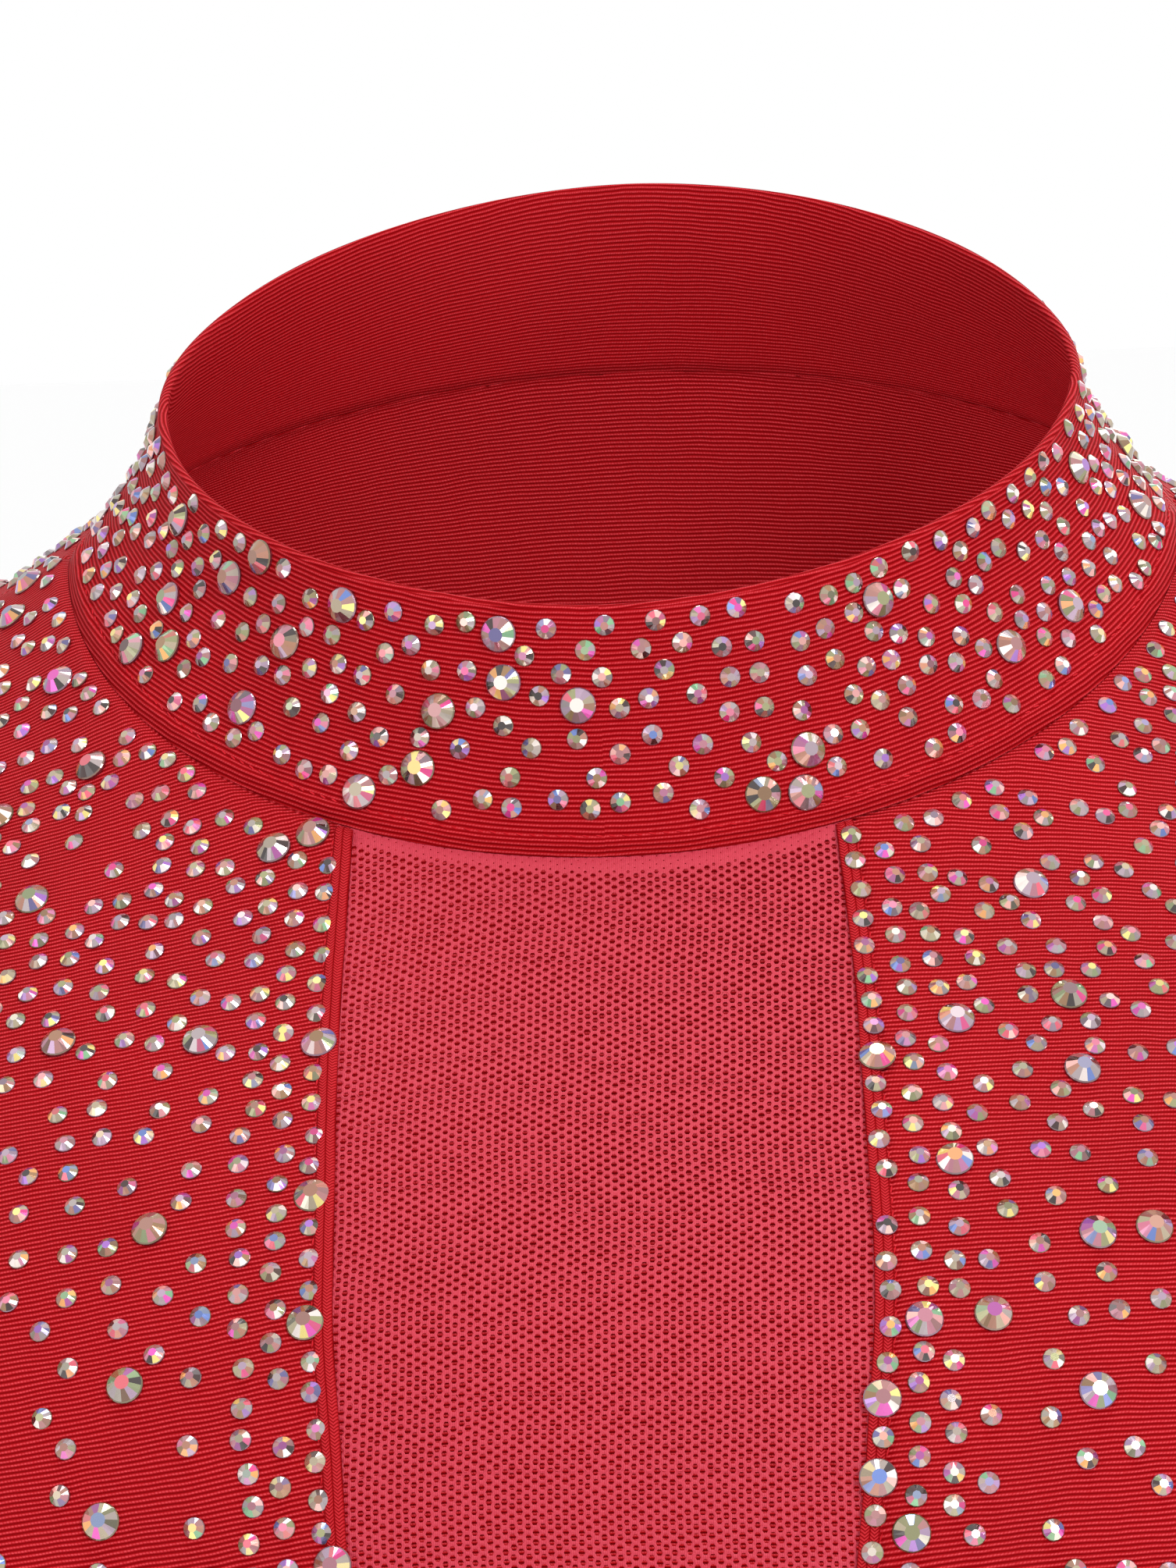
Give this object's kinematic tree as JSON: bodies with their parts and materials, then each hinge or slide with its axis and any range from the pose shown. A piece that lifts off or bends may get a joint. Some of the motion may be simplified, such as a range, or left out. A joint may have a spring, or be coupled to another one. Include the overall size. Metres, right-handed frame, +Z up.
{
  "type": "latin dance bodysuit",
  "caption": "Sleeveless stretch dance bodysuit with a stand collar and a tapering centre front panel of sheer net, open at the neck, armholes and legs.",
  "frame": {"origin": "centre of the neck base, level with the inner ends of the shoulder seams", "axes": "+Z up along the wearer's body, the front faces -Y, X runs across from side to side"},
  "size_m": [0.33, 0.2448, 0.7327],
  "materials": {
    "cloth": "fine ribbed nylon and elastane knit with a soft sheen",
    "net": "sheer hexagonal nylon net"
  },
  "bodies": {
    "root": {"collar": "cloth", "front_left": "cloth", "front_right": "cloth", "net_centre": "net", "back": "cloth"}
  },
  "joints": []
}
